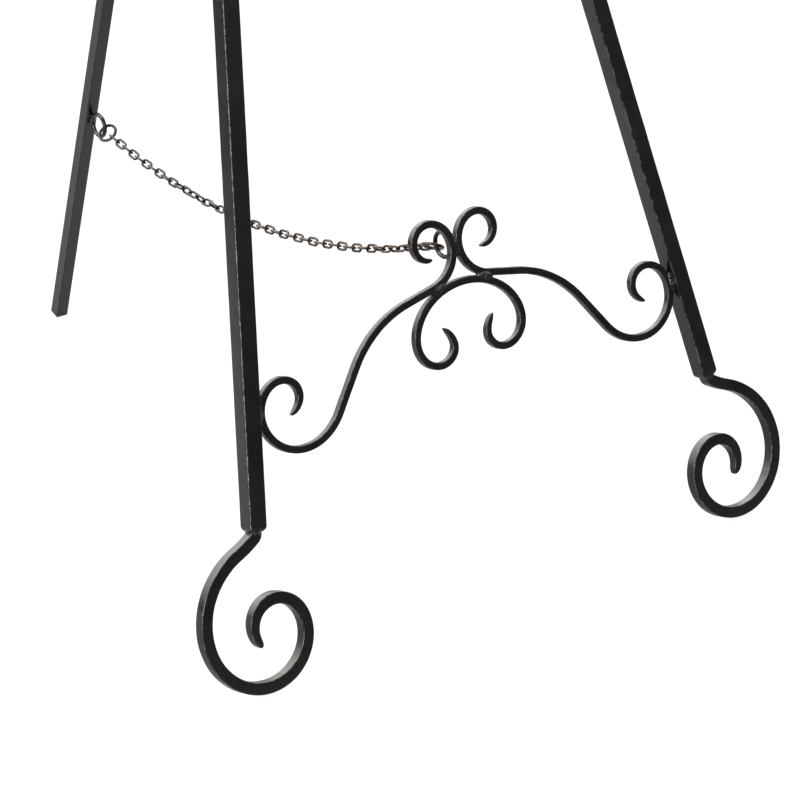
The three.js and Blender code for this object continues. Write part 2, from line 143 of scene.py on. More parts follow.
# ---- smooth bars ----
FINE_TURN = math.radians(2.5)  # most that a smooth bar turns from one ring to the next
FINE_STEP = 10 * MM  # longest step from one ring to the next
STRAIGHT = 1e-6  # radians; a stretch that turns less is straight
LEG_TO_WELD = 2.5 * MM  # the weld at a leg's foot is drawn as part of the leg
JOINT_DEPTH = 4.5 * MM  # how far a scroll runs into the end of its leg


class Path:
    """Smooth centre line of a bar, with its two half-widths as vectors.

    With square_ends, a leg's ends have the full section found next to them in the CAD, and its foot
    reaches the weld. A bar that joins another starts inside that bar's end.
    """

    def __init__(self, node_name, square_ends=False, joins=None):
        rings = bar_rings(node_name)
        if joins:
            near = joins.nearest_end(rings[0].mean(axis=0), rings[-1].mean(axis=0))
            rings = rings if near == 0 else rings[::-1]
        self.centres = np.array([ring.mean(axis=0) for ring in rings])
        self.halves = [
            ((r[0] + r[1] - r[2] - r[3]) / 4, (r[1] + r[2] - r[3] - r[0]) / 4) for r in rings
        ]
        if square_ends:
            self.halves[0] = self.halves[1]
            self.halves[-1] = self.halves[-2]
            foot = self.centres[:, 2].argmin()
            self.centres[foot] += LEG_TO_WELD * unit(self.centres[foot] - self.centres.mean(axis=0))
        if joins:
            self.run_into(joins)
        self.values = np.array(self.fine())
        steps = np.linalg.norm(np.diff(self.values[:, :3], axis=0), axis=1)
        self.along = np.concatenate([[0], np.cumsum(steps)])
        self.length = self.along[-1]

    def nearest_end(self, *places):
        """Which of the places lies nearest to an end of this path."""
        ends = self.centres[[0, -1]]
        return np.argmin([np.linalg.norm(ends - place, axis=1).min() for place in places])

    def run_into(self, other):
        """Lengthens the start to bend into the end of another path."""
        gaps = np.linalg.norm(other.centres[[0, -1]] - self.centres[0], axis=1)
        end, inner = ((0, 1), (-1, -2))[np.argmin(gaps)]
        inward = unit(other.centres[inner] - other.centres[end])
        self.centres = np.concatenate([[other.centres[end] + JOINT_DEPTH * inward], self.centres])
        first = [np.linalg.norm(half) * unit(across_to(half, inward)) for half in self.halves[0]]
        self.halves.insert(0, tuple(first))

    def heading(self, i):
        """The bar's direction at one of its CAD rings."""
        ahead = unit(np.cross(*self.halves[i]))
        last = len(self.centres) - 1
        chord = self.centres[min(i + 1, last)] - self.centres[max(i - 1, 0)]
        return ahead if ahead @ chord > 0 else -ahead

    def fine(self):
        """Rows of centre and half-widths on curves that leave each CAD ring in its own direction."""
        rows = []
        for i in range(len(self.centres) - 1):
            here, there = self.heading(i), self.heading(i + 1)
            chord = np.linalg.norm(self.centres[i + 1] - self.centres[i])
            turn = math.acos(min(1.0, here @ there))
            arc = chord * (turn / 2) / math.sin(turn / 2) if turn > STRAIGHT else chord
            steps = max(math.ceil(turn / FINE_TURN), math.ceil(chord / FINE_STEP))
            for step in range(steps + (i == len(self.centres) - 2)):
                rows.append(self.between(i, step / steps, here * arc, there * arc))
        return rows

    def between(self, i, t, leave, arrive):
        """Centre and half-widths at a share t of the way from CAD ring i to the next."""
        start, end = self.centres[i], self.centres[i + 1]
        ends = (2 * t**3 - 3 * t**2 + 1) * start + (3 * t**2 - 2 * t**3) * end
        centre = ends + (t**3 - 2 * t**2 + t) * leave + (t**3 - t**2) * arrive
        slope = 6 * (t**2 - t) * (start - end)
        slope += (3 * t**2 - 4 * t + 1) * leave + (3 * t**2 - 2 * t) * arrive
        row = [centre]
        for a, b in zip(self.halves[i], self.halves[i + 1]):
            length = (1 - t) * np.linalg.norm(a) + t * np.linalg.norm(b)
            row.append(length * unit(across_to((1 - t) * a + t * b, unit(slope))))
        return np.concatenate(row)

    def at(self, where):
        """Centre and both half-widths at a distance from the start."""
        return np.array([np.interp(where, self.along, column) for column in self.values.T]).reshape(3, 3)


CORNER_STEPS = 3  # round each corner of a bar's section
END_STEPS = 5  # along each rounded end or edge
ROUNDEST = 0.8  # largest share of a half-width that a rounded corner takes


def quarter_round(length, cut=None):
    """Depth and inset of each step of a rounded edge, from the face to the side.

    The edge is round, or drawn out along the side if its depth of cut is given apart.
    """
    cut = length if cut is None else cut
    angles = [i * math.pi / 2 / END_STEPS for i in range(END_STEPS + 1)]
    return [(length * (1 - math.cos(angle)), cut * (1 - math.sin(angle))) for angle in angles]


def square_section(path, where, corner, inset=0.0):
    """Square section with rounded corners, as a ring of points."""
    centre, a, b = path.at(where)
    half_a, half_b = np.linalg.norm(a) - inset, np.linalg.norm(b) - inset
    radius = min(corner, ROUNDEST * half_a, ROUNDEST * half_b)
    a, b = unit(a), unit(b)
    ring = []
    for quarter, (side_a, side_b) in enumerate(((1, 1), (-1, 1), (-1, -1), (1, -1))):
        for step in range(CORNER_STEPS + 1):
            angle = (quarter + step / CORNER_STEPS) * math.pi / 2
            over_a = side_a * (half_a - radius) + radius * math.cos(angle)
            over_b = side_b * (half_b - radius) + radius * math.sin(angle)
            ring.append(centre + over_a * a + over_b * b)
    return ring


def uneven(rings, depth, size):
    """Hand-worked surface: each point moves in or out a little, by smooth noise of a given size."""
    result = []
    for ring in np.array(rings):
        centre = ring.mean(axis=0)
        shifts = [depth * noise.noise(Vector(point / size)) for point in ring]
        result.append([point + shift * unit(point - centre) for point, shift in zip(ring, shifts)])
    return result


# ---- meshes ----
# Edges marked here are drawn lighter in the materials: wear, and a painted highlight along them.
EDGE_MARK = "worn and highlit edge"  # the attribute that tells the materials where an edge is
EDGE_ANGLE = math.radians(25)  # faces that meet at more than this meet at an edge


def skin(rings, closed=False):
    """Points and faces of a surface through rings of points, capped unless its ends meet."""
    count = len(rings[0])
    points = [tuple(point) for ring in rings for point in ring]
    faces = []
    for i in range(len(rings) - (0 if closed else 1)):
        near, far = i * count, (i + 1) % len(rings) * count
        for j in range(count):
            k = (j + 1) % count
            faces.append((near + j, near + k, far + k, far + j))
    if not closed:
        faces.append(tuple(reversed(range(count))))
        faces.append(tuple(range(len(points) - count, len(points))))
    return points, faces


def mesh_of(name, *skins):
    """One smooth mesh of one or more skins, its faces pointing out."""
    points, faces = [], []
    for new_points, new_faces in skins:
        start = len(points)
        points += new_points
        faces += [tuple(start + corner for corner in face) for face in new_faces]
    mesh = bpy.data.meshes.new(name)
    mesh.from_pydata(points, [], faces)
    edit = bmesh.new()
    edit.from_mesh(mesh)
    bmesh.ops.recalc_face_normals(edit, faces=edit.faces)
    angles = [max(edge.calc_face_angle(0.0) for edge in point.link_edges) for point in edit.verts]
    edit.to_mesh(mesh)
    edit.free()
    mesh.shade_smooth()
    marks = mesh.attributes.new(EDGE_MARK, "FLOAT", "POINT")
    marks.data.foreach_set("value", (np.array(angles) > EDGE_ANGLE).astype(float))
    return mesh


def piece(name, node_name, *skins, stands_for_node=True):
    """Adds a piece that rides with a CAD node's body and takes that node's material slot."""
    mesh = mesh_of(name, *skins)
    obj = bpy.data.objects.new(name, mesh)
    bpy.context.scene.collection.objects.link(obj)
    mesh.materials.append(MATERIALS[SLOT_OF[node_name]])
    obj.modifiers.new("even shading", "WEIGHTED_NORMAL")
    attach(obj, BODY_OF[node_name])
    if stands_for_node:
        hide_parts(node_name)


ROUND_STEPS = 48
TURNED_START = np.array([0.0, 0.3, 1.0])  # points are counted from about here; no pin lies along it


def turned(profile, origin, direction):
    """Rings of a turned piece, from its profile of (radius, place along the axis)."""
    side = unit(across_to(TURNED_START, direction))
    other = np.cross(direction, side)
    angles = [2 * math.pi * i / ROUND_STEPS for i in range(ROUND_STEPS)]
    return [
        [origin + along * direction + radius * (math.cos(a) * side + math.sin(a) * other) for a in angles]
        for radius, along in profile
    ]


def inset_outline(outline, distance):
    """Moves a closed outline that turns left inward, with mitred corners."""
    outline = np.array(outline)
    ahead = np.roll(outline, -1, axis=0) - outline
    ahead /= np.linalg.norm(ahead, axis=1)[:, None]
    left = np.stack([-ahead[:, 1], ahead[:, 0]], axis=1)
    before = np.roll(left, 1, axis=0)
    mitre = (left + before) / (1 + np.sum(left * before, axis=1))[:, None]
    return outline + distance * mitre


def slab(outline, thickness, edge, origin, along, up, out):
    """Rings of a flat piece cut to an outline in the axes along and up, rounded at its edges."""
    layers = [(depth - thickness / 2, inset) for depth, inset in quarter_round(edge)]
    layers += [(-depth, inset) for depth, inset in reversed(layers)]
    return [
        [origin + x * along + y * up + depth * out for x, y in inset_outline(outline, inset)]
        for depth, inset in layers
    ]


# ---- materials ----
# Scales of the noises: how many of their features lie along a metre.
GRAIN_SCALE = 1300.0
WEAR_SCALE = 170.0
PATCH_SCALE = 120.0
WAVE_SCALE = 85.0
MOTTLE_SCALE = 45.0
SMEAR_SCALE = 28.0
# Parts of a noise's range that are spread over the whole of what it drives.
MOST = (0.3, 0.7)
# The edge span below breaks up the lighter edges, which are wear and a painted highlight.
WORN_AND_HIGHLIT_PART = (0.45, 0.62)
PATCHED_PART = (0.45, 0.6)
# Specks: how many along a metre, their size as a share of the distance between them, their amount.
DUST = (330.0, 0.13, 0.6)
SMALL_SPECKS = (900.0, 0.2, 0.35)
SPECK_CORE = 0.6  # share of a speck inside its soft edge
CHOSEN = (0.8, 0.84)  # only about one place in five gets a speck
DUST_COLOUR = (0.13, 0.12, 0.11, 1.0)
REAR_TO_FRONT = (0.1, -0.25)  # metres along Y between which the tarnish grows
REAR_TO_FRONT_SHARE = (0.05, 1.0)
SMEARED = (-0.08, 0.09)  # least and most that smears add to the roughness
POLISHED = 0.12  # how much less rough rubbed metal is
GRAIN_DEPTH = 0.12 * MM
WAVE_DEPTH = 0.35 * MM
WAVE_STRENGTH = 0.5


def node(tree, kind, settings=None, **inputs):
    """Adds a shader node; an input's value is a number, a colour or another node's output.

    An input is given by its name, with _ for a space, or as _N by its number.
    """
    made = tree.nodes.new("ShaderNode" + kind)
    for key, value in (settings or {}).items():
        setattr(made, key, value)
    for key, value in inputs.items():
        socket = made.inputs[int(key[1:]) if key[0] == "_" else key.replace("_", " ")]
        if isinstance(value, bpy.types.NodeSocket):
            tree.links.new(value, socket)
        else:
            socket.default_value = value
    return made


def spread(tree, value, span, onto=(0.0, 1.0)):
    """Maps a value from one span onto another, clamped."""
    made = node(tree, "MapRange", None, Value=value)
    for name, number in zip(("From Min", "From Max", "To Min", "To Max"), span + onto):
        made.inputs[name].default_value = number
    return made.outputs["Result"]


def blended(tree, share, first, second):
    """The first colour, with a share of the second mixed in."""
    made = node(tree, "Mix", {"data_type": "RGBA"}, _0=share, _6=first, _7=second)
    return made.outputs[2]


def times(tree, first, second):
    """Product of two values."""
    return node(tree, "Math", {"operation": "MULTIPLY"}, _0=first, _1=second).outputs[0]


def noise_at(tree, place, scale, detail=3.0):
    """Smooth noise of a given scale."""
    return node(tree, "TexNoise", None, Vector=place, Scale=scale, Detail=detail).outputs["Fac"]


# Lighter edges stand for wear and for a painted highlight where light would catch the rounded edges.
def worn_and_highlit_edges(tree, place, amount):
    """An amount along a piece's edges, broken up along their length, and 0 elsewhere."""
    edge = node(tree, "Attribute", {"attribute_name": EDGE_MARK}).outputs["Fac"]
    broken = spread(tree, noise_at(tree, place, WEAR_SCALE), WORN_AND_HIGHLIT_PART)
    return times(tree, times(tree, edge, broken), amount)


def specks(tree, place, scale, size, amount):
    """An amount on small scattered specks, such as dust or flaws in a coat, and 0 elsewhere."""
    cells = node(tree, "TexVoronoi", None, Vector=place, Scale=scale)
    spot = spread(tree, cells.outputs["Distance"], (size, SPECK_CORE * size))
    draw = node(tree, "SeparateColor", None, Color=cells.outputs["Color"]).outputs["Red"]
    return times(tree, times(tree, spot, spread(tree, draw, CHOSEN)), amount)


def tarnished(tree, place, colour, patch):
    """A colour under brown patches, more of them toward the front of the easel."""
    patches = spread(tree, noise_at(tree, place, PATCH_SCALE, detail=4.0), PATCHED_PART)
    depth = node(tree, "SeparateXYZ", None, Vector=place).outputs["Y"]
    share = times(tree, patches, spread(tree, depth, REAR_TO_FRONT, REAR_TO_FRONT_SHARE))
    return blended(tree, share, colour, patch)


def dusted(tree, place, colour):
    """A colour under dust and smaller specks."""
    dust, small = specks(tree, place, *DUST), specks(tree, place, *SMALL_SPECKS)
    share = node(tree, "Math", {"operation": "ADD"}, _0=dust, _1=small).outputs[0]
    return blended(tree, share, colour, DUST_COLOUR)


def smeared(tree, place, roughness, edge_wear_and_highlight):
    """Roughness that varies in broad smears and is less where the metal is rubbed."""
    smear = noise_at(tree, place, SMEAR_SCALE, detail=5.0)
    rough = spread(tree, smear, MOST, tuple(roughness + change for change in SMEARED))
    polish = times(tree, edge_wear_and_highlight, POLISHED)
    return node(tree, "Math", {"operation": "SUBTRACT"}, _0=rough, _1=polish).outputs[0]


def bumpy(tree, place, grain):
    """Surface direction over a fine grain on broad, shallow waves."""
    height = noise_at(tree, place, GRAIN_SCALE)
    fine = node(tree, "Bump", None, Height=height, Strength=grain, Distance=GRAIN_DEPTH)
    waves = noise_at(tree, place, WAVE_SCALE)
    broad = node(tree, "Bump", None, Height=waves, Strength=WAVE_STRENGTH, Distance=WAVE_DEPTH)
    tree.links.new(fine.outputs[0], broad.inputs["Normal"])
    return broad.outputs[0]


def metal(name, dark, light, edge_wear_and_highlight_colour, roughness, metallic, grain, patch=None, edge_wear_and_highlight_amount=0.5):
    """Coated or bare metal: mottled from dark to light, dusty, and lighter at its edges, in one colour that stands
    for wear and for a painted highlight.

    Brown patches are drawn if their colour is given.
    """
    material = bpy.data.materials.new(name)
    material.use_nodes = True
    tree = material.node_tree
    tree.nodes.clear()
    place = node(tree, "TexCoord").outputs["Object"]
    mottle = spread(tree, noise_at(tree, place, MOTTLE_SCALE, detail=5.0), MOST)
    colour = blended(tree, mottle, dark, light)
    if patch:
        colour = tarnished(tree, place, colour, patch)
    # Mask of the lighter edges: wear, and a painted highlight.
    edge_wear_and_highlight = worn_and_highlit_edges(tree, place, edge_wear_and_highlight_amount)
    shader = node(
        tree,
        "BsdfPrincipled",
        None,
        Base_Color=blended(tree, edge_wear_and_highlight, dusted(tree, place, colour), edge_wear_and_highlight_colour),
        Roughness=smeared(tree, place, roughness, edge_wear_and_highlight),
        Metallic=metallic,
        Normal=bumpy(tree, place, grain),
    )
    output = node(tree, "OutputMaterial")
    tree.links.new(shader.outputs[0], output.inputs[0])
    return material


MATERIALS = {
    "black_bar": metal(
        "black powder coat",
        dark=(0.0036, 0.003, 0.0023, 1.0),
        light=(0.0072, 0.006, 0.0048, 1.0),
        # Edge colour: wear, and a painted highlight along the edges.
        edge_wear_and_highlight_colour=(0.085, 0.08, 0.072, 1.0),
        roughness=0.19,
        metallic=0.0,
        grain=0.16,
        # Strong edge colour: partly wear, partly a painted highlight along the bar edges.
        edge_wear_and_highlight_amount=0.9,
    ),
    "black_hardware": metal(
        "black oxide",
        dark=(0.012, 0.011, 0.0105, 1.0),
        light=(0.022, 0.02, 0.019, 1.0),
        edge_wear_and_highlight_colour=(0.11, 0.1, 0.095, 1.0),
        roughness=0.34,
        metallic=0.35,
        grain=0.12,
    ),
    "ring_steel": metal(
        "coated wire",
        dark=(0.006, 0.0052, 0.0042, 1.0),
        light=(0.015, 0.013, 0.011, 1.0),
        edge_wear_and_highlight_colour=(0.1, 0.08, 0.065, 1.0),
        roughness=0.27,
        metallic=0.15,
        grain=0.15,
        patch=(0.06, 0.03, 0.016, 1.0),
    ),
    "chain_steel": metal(
        "oiled chain steel",
        dark=(0.0022, 0.002, 0.0017, 1.0),
        light=(0.007, 0.0063, 0.0053, 1.0),
        edge_wear_and_highlight_colour=(0.16, 0.14, 0.12, 1.0),
        roughness=0.22,
        metallic=0.1,
        grain=0.2,
        patch=(0.1, 0.042, 0.019, 1.0),
    ),
}

# ---- bars ----
LEG_CORNER = 1.3 * MM
SCROLL_CORNER = 0.9 * MM
LEG_END = 5.2 * MM  # how far the corners of a leg's end are ground round
SCROLL_END = 7 * MM  # length of the drawn-out tip of a scroll
ARM_END = 2 * MM
END_TAPER = 0.66  # share of the half-width that an end loses
HAND_WORK = ((0.16 * MM, 18 * MM), (0.05 * MM, 4 * MM))  # depth and size of a bar's unevenness


def bar(node_name, corner, end_length, square_ends=False, joins=None):
    """Builds the smooth bar that stands for a square CAD bar, and returns its path."""
    path = Path(node_name, square_ends, joins)
    near, far = (
        quarter_round(end_length, min(end_length, END_TAPER * np.linalg.norm(half)))
        for half in (path.values[0, 3:6], path.values[-1, 3:6])
    )
    middle = [where for where in path.along if end_length < where < path.length - end_length]
    rings = [square_section(path, depth, corner, inset) for depth, inset in near]
    rings += [square_section(path, where, corner) for where in middle]
    rings += [square_section(path, path.length - depth, corner, inset) for depth, inset in reversed(far)]
    for depth, size in HAND_WORK:
        rings = uneven(rings, depth, size)
    piece(f"{node_name}_bar", node_name, skin(rings))
    return path


PATHS = {}
for side in SIDES:
    leg = bar(f"front_leg_{side}", LEG_CORNER, LEG_END, square_ends=True)
    PATHS[f"front_leg_{side}"] = leg
    for scroll in ("foot_scroll", "top_scroll"):
        PATHS[f"{scroll}_{side}"] = bar(f"{scroll}_{side}", SCROLL_CORNER, SCROLL_END, joins=leg)
    PATHS[f"side_scroll_{side}"] = bar(f"side_scroll_{side}", SCROLL_CORNER, SCROLL_END)
    PATHS[f"picture_arm_{side}"] = bar(f"picture_arm_{side}", SCROLL_CORNER, ARM_END)
PATHS["center_scroll"] = bar("center_scroll", SCROLL_CORNER, SCROLL_END)


def front_directions():
    """Out of the leaning front frame, and up along it, from its flat center scroll."""
    points, _ = cad_surface("center_scroll")
    out = np.linalg.svd(points - points.mean(axis=0))[2][2]
    out = out if out[1] < 0 else -out
    return out, np.cross(out, ACROSS)


OUT, UP = front_directions()

# ---- rear leg ----
FOOT_CORNER = 1.6 * MM
HEAD_STEPS = 24


def half_round(radius, first):
    """Outline of a half circle about the origin, turning left from an angle."""
    angles = [first + math.pi * step / HEAD_STEPS for step in range(HEAD_STEPS + 1)]
    return [(radius * math.cos(angle), radius * math.sin(angle)) for angle in angles]


def rear_leg():
    """Plain square bar with a round head about the hinge pin and a square-cut foot.

    Returns the directions out of its front face and down along it.
    """
    pin = PIN["rear_leg_fold"]
    points, _ = cad_surface("rear_leg")
    foot = points[np.argsort(points[:, 2])[:2]].mean(axis=0)
    down = unit(np.linalg.svd(points - points.mean(axis=0))[2][0])
    down = down if down[2] < 0 else -down
    front = unit(np.cross(ACROSS, down))
    front = front if front[1] < 0 else -front
    half = np.abs(points[:, 0]).max()
    length = (foot - pin) @ down
    steps = round(length / FINE_STEP)
    side = [-(length - FOOT_CORNER) * i / steps for i in range(1, steps + 1)]
    corner = quarter_round(FOOT_CORNER)[:-1]
    outline = half_round(half, 0.0)
    outline += [(-half, y) for y in side]
    outline += [(inset - half, depth - length) for depth, inset in reversed(corner)]
    outline += [(half - inset, depth - length) for depth, inset in corner]
    outline += [(half, y) for y in reversed(side)]
    rings = slab(outline, 2 * half, LEG_CORNER, pin, front, -down, ACROSS)
    piece("rear_leg_bar", "rear_leg", skin(rings))
    return front, down


REAR_OUT, REAR_DOWN = rear_leg()


# ---- CAD pieces that keep their shape ----
SLEEVE_EDGE = 0.7 * MM
SHARP = math.radians(40)  # faces that meet at more than this get a rounded edge


def soften(node_name, radius):
    """Rounds the edges of a CAD piece and gives it its finish."""
    obj = frame["nodes"][node_name]
    obj.data.materials.clear()
    obj.data.materials.append(MATERIALS[SLOT_OF[node_name]])
    obj.modifiers.new("join corners", "WELD").merge_threshold = SAME_POINT
    rounding = obj.modifiers.new("rounded edges", "BEVEL")
    rounding.width = radius
    rounding.segments = 3
    rounding.limit_method = "ANGLE"
    rounding.angle_limit = SHARP
    obj.modifiers.new("even shading", "WEIGHTED_NORMAL")


soften("hinge_bar", LEG_CORNER)
for side in SIDES:
    soften(f"picture_sleeve_{side}", SLEEVE_EDGE)


# ---- turned pieces ----
PIN_RADIUS = 3 * MM
PIN_TIP = 0.5 * MM  # length of the plain tip beyond a thread
THREAD_PITCH = 1 * MM
THREAD_RIDGE = ((0.15, 0.0), (0.35, 0.0), (0.75, 0.5))  # place and depth, as shares of the pitch


def thread(radius, start, end):
    """Profile of a screw thread, drawn as ridges."""
    count = int((end - start) / THREAD_PITCH)
    return [
        (radius - depth * THREAD_PITCH, start + (i + place) * THREAD_PITCH)
        for i in range(count)
        for place, depth in THREAD_RIDGE
    ]


def round_profile(radius, start, end, edge):
    """Outer profile of a round piece with rounded edges."""
    corner = quarter_round(edge)
    profile = [(radius - inset, start + depth) for depth, inset in corner]
    return profile + [(radius - inset, end - depth) for depth, inset in reversed(corner)]


def tube_profile(bore, radius, start, end, edge):
    """Closed profile of a plain tube with rounded outer edges."""
    return [(bore, start)] + round_profile(radius, start, end, edge) + [(bore, end)]


# ---- hinge ----
SMALL_EDGE = 0.4 * MM
HEAD_GAP = 0.1 * MM  # between the bolt's head and its washer
HEAD_RIM = 0.2 * MM
DOME_STEPS = 8
BOLT_THREAD = 12 * MM
BOLT_TIP = ((0.8, 0.2 * MM), (0.75, 0.0))  # share of the radius, and distance from the end
WASHER_PLAY = 0.1 * MM
NUT_CHAMFER = 0.9 * MM
NUT_CORNER = 0.3 * MM  # how far the nut's corners are rounded off
NUT_FACE = 0.985  # size of the nut's round faces, as a share of its width across flats


def hinge_bolt():
    """Domed head at the left, threaded at the right."""
    pin = PIN["rear_leg_fold"]
    start, end, head = extent("hinge_bolt", pin, ACROSS)
    washer_start, _, _ = extent("hinge_washer_left", pin, ACROSS)
    head_end = washer_start - HEAD_GAP
    height = head_end - start
    dome = [i * math.pi / 2 / DOME_STEPS for i in range(1, DOME_STEPS + 1)]
    profile = [(head * math.sin(angle), head_end - height * math.cos(angle)) for angle in dome]
    profile += [(head - HEAD_RIM, head_end), (PIN_RADIUS, head_end)]
    profile += thread(PIN_RADIUS, end - BOLT_THREAD, end - PIN_TIP)
    profile += [(share * PIN_RADIUS, end - depth) for share, depth in BOLT_TIP]
    piece("hinge_bolt_turned", "hinge_bolt", skin(turned(profile, pin, ACROSS)))


def hinge_washers():
    """One washer beside each ear."""
    pin = PIN["rear_leg_fold"]
    for side in SIDES:
        name = f"hinge_washer_{side}"
        start, end, radius = extent(name, pin, ACROSS)
        profile = tube_profile(PIN_RADIUS + WASHER_PLAY, radius, start, end, SMALL_EDGE)
        piece(f"{name}_turned", name, skin(turned(profile, pin, ACROSS), closed=True))


def hinge_nut():
    """Hexagon with its corners turned down at both faces."""
    pin = PIN["rear_leg_fold"]
    start, end, corner = extent("hinge_nut", pin, ACROSS)
    flat = corner * math.cos(math.pi / 6)
    rings = []
    for along in (start, start + NUT_CHAMFER, end - NUT_CHAMFER, end):
        is_face = along in (start, end)
        ring = []
        for i in range(ROUND_STEPS):
            angle = 2 * math.pi * i / ROUND_STEPS
            past_middle = angle % (math.pi / 3) - math.pi / 6
            hexagon = min(flat / math.cos(past_middle), corner - NUT_CORNER)
            radius = min(hexagon, NUT_FACE * flat) if is_face else hexagon
            ring.append(pin + along * ACROSS + radius * (math.cos(angle) * UP + math.sin(angle) * OUT))
        rings.append(ring)
    piece("hinge_nut_hexagon", "hinge_nut", skin(rings))


def hinge_ears():
    """Flat ears, round about the pin, that stand on the hinge bar."""
    pin = PIN["rear_leg_fold"]
    for side in SIDES:
        name = f"hinge_ear_{side}"
        start, end, _ = extent(name, pin, ACROSS)
        _, root, _ = extent(name, pin, OUT)
        _, radius, _ = extent(name, pin, UP)
        outline = [(root, -radius), (root, radius)] + half_round(radius, math.pi / 2)
        middle = pin + (start + end) / 2 * ACROSS
        rings = slab(outline, end - start, SMALL_EDGE, middle, OUT, UP, ACROSS)
        piece(f"{name}_plate", name, skin(rings))


hinge_bolt()
hinge_washers()
hinge_nut()
hinge_ears()


# ---- picture bracket screws ----
SCREW_PLAY = 0.2 * MM
SCREW_EDGE = 0.8 * MM  # rounding of the boss and the collar
SCREW_TIP = ((0.7, 0.0), (0.9, PIN_TIP))  # share of the radius, and distance from the start
COLLAR_GAP = 3 * MM  # between the boss and the screw's collar
COLLAR_LENGTH = 5 * MM
COLLAR_RADIUS = 5 * MM
WING_SPAN = 15 * MM
WING_REACH = 14 * MM
WING_MIDDLE = 0.6 * WING_REACH
WING_CURL = 0.4 * WING_SPAN
WING_ROOT = 3.5 * MM
WING_THICKNESS = 3 * MM
WING_EDGE = 1.1 * MM
WING_STEPS = 8


def screw_boss(side):
    """Round boss on the sleeve, bored for the thumbscrew."""
    name = f"screw_boss_{side}"
    origin, direction = PIN[f"thumbscrew_{side}_turn"], AXIS[f"thumbscrew_{side}_turn"]
    start, end, radius = extent(name, origin, direction)
    profile = tube_profile(PIN_RADIUS + SCREW_PLAY, radius, start, end, SCREW_EDGE)
    piece(f"{name}_turned", name, skin(turned(profile, origin, direction), closed=True))


def bend(start, pull, end):
    """Points of a curve from start towards end, bent by a pull, without its last point."""
    start, pull, end = map(np.array, (start, pull, end))
    shares = [i / WING_STEPS for i in range(WING_STEPS)]
    return [(1 - t) ** 2 * start + 2 * t * (1 - t) * pull + t**2 * end for t in shares]


def wing_outline(base):
    """Bow of two wings across the screw's head, each swept out and away from the leg."""
    middle, tip = base + WING_MIDDLE, base + WING_REACH
    curl = (tip, WING_SPAN - WING_CURL)
    half = bend((base, WING_ROOT), (base, WING_SPAN), (middle, WING_SPAN))
    half += bend((middle, WING_SPAN), (tip, WING_SPAN), curl)
    half += bend(curl, (middle, WING_ROOT), (middle, 0))
    other = [(x, -y) for x, y in reversed(half)]
    return list(reversed([tuple(point) for point in half] + [(middle, 0.0)] + other))


def thumbscrew(side):
    """Threaded pin with a collar and a pair of wings."""
    name = f"thumbscrew_{side}"
    origin, direction = PIN[f"{name}_turn"], AXIS[f"{name}_turn"]
    start, end, _ = extent(name, origin, direction)
    _, boss_end, _ = extent(f"screw_boss_{side}", origin, direction)
    collar = boss_end + COLLAR_GAP
    profile = [(share * PIN_RADIUS, start + depth) for share, depth in SCREW_TIP]
    profile += thread(PIN_RADIUS, start + PIN_TIP, collar)
    profile += round_profile(COLLAR_RADIUS, collar, collar + COLLAR_LENGTH, SCREW_EDGE)
    up = unit(across_to(UP, direction))
    across = np.cross(direction, up)
    outline = wing_outline(end - WING_REACH)
    wings = slab(outline, WING_THICKNESS, WING_EDGE, origin, direction, up, across)
    piece(f"{name}_turned", name, skin(turned(profile, origin, direction)), skin(wings))


for side in SIDES:
    screw_boss(side)
    thumbscrew(side)


# ---- rings ----
WIRE_STEPS = 16
WIRE_WORK = (0.06 * MM, 5 * MM)  # depth and size of a ring's unevenness
SEAM_WIDTH = 1.2 * MM
SEAM_SWELL = 0.1  # how much thicker the wire is where its ends are welded
RING_STEPS = 72
RING_SEAM = 9  # the step at which a ring's ends are welded
RING_START = np.array([0.1, 0.2, 1.0])  # steps are counted from about here; no ring faces along it


def wire_loop(places, radius, seam):
    """Rings of round wire along a closed loop of (centre, outward), thicker at the numbered seam."""
    loop_normal = unit(np.cross(places[0][1], places[len(places) // 4][1]))
    rings = []
    for centre, outward in places:
        gap = np.linalg.norm(centre - places[seam][0]) / SEAM_WIDTH
        swollen = radius * (1 + SEAM_SWELL * math.exp(-(gap**2)))
        angles = [2 * math.pi * i / WIRE_STEPS for i in range(WIRE_STEPS)]
        ring = [math.cos(a) * outward + math.sin(a) * loop_normal for a in angles]
        rings.append([centre + swollen * spoke for spoke in ring])
    return rings


def wire_ring(node_name, roll=0.0, pull=UP):
    """Round ring that stands for a CAD ring, rolled about the line it is pulled along.

    Returns its centre, its radius to the middle of the wire, and the wire's radius.
    """
    points, _ = cad_surface(node_name)
    centre = points.mean(axis=0)
    normal = np.linalg.svd(points - centre)[2][2]
    reach = np.linalg.norm(points - centre - np.outer((points - centre) @ normal, normal), axis=1)
    radius, wire = (reach.max() + reach.min()) / 2, (reach.max() - reach.min()) / 2
    pull = unit(across_to(pull, normal))
    normal = math.cos(roll) * normal + math.sin(roll) * np.cross(pull, normal)
    side = unit(across_to(RING_START, normal))
    other = np.cross(normal, side)
    places = []
    for step in range(RING_STEPS):
        angle = 2 * math.pi * step / RING_STEPS
        outward = math.cos(angle) * side + math.sin(angle) * other
        places.append((centre + radius * outward, outward))
    rings = uneven(wire_loop(places, wire, RING_SEAM), *WIRE_WORK)
    piece(f"{node_name}_wire", node_name, skin(rings, closed=True))
    return centre, radius, wire


FRONT_ROLL = math.radians(28)  # the front joining ring hangs rolled toward the left
RINGS = {name: wire_ring(name) for name in ("front_eye_ring", "rear_eye_ring", "rear_joining_ring")}
FRONT_PULL = PIN["chain_1_bend"] - PIN["front_ring_swing"]
RINGS["front_joining_ring"] = wire_ring("front_joining_ring", FRONT_ROLL, FRONT_PULL)

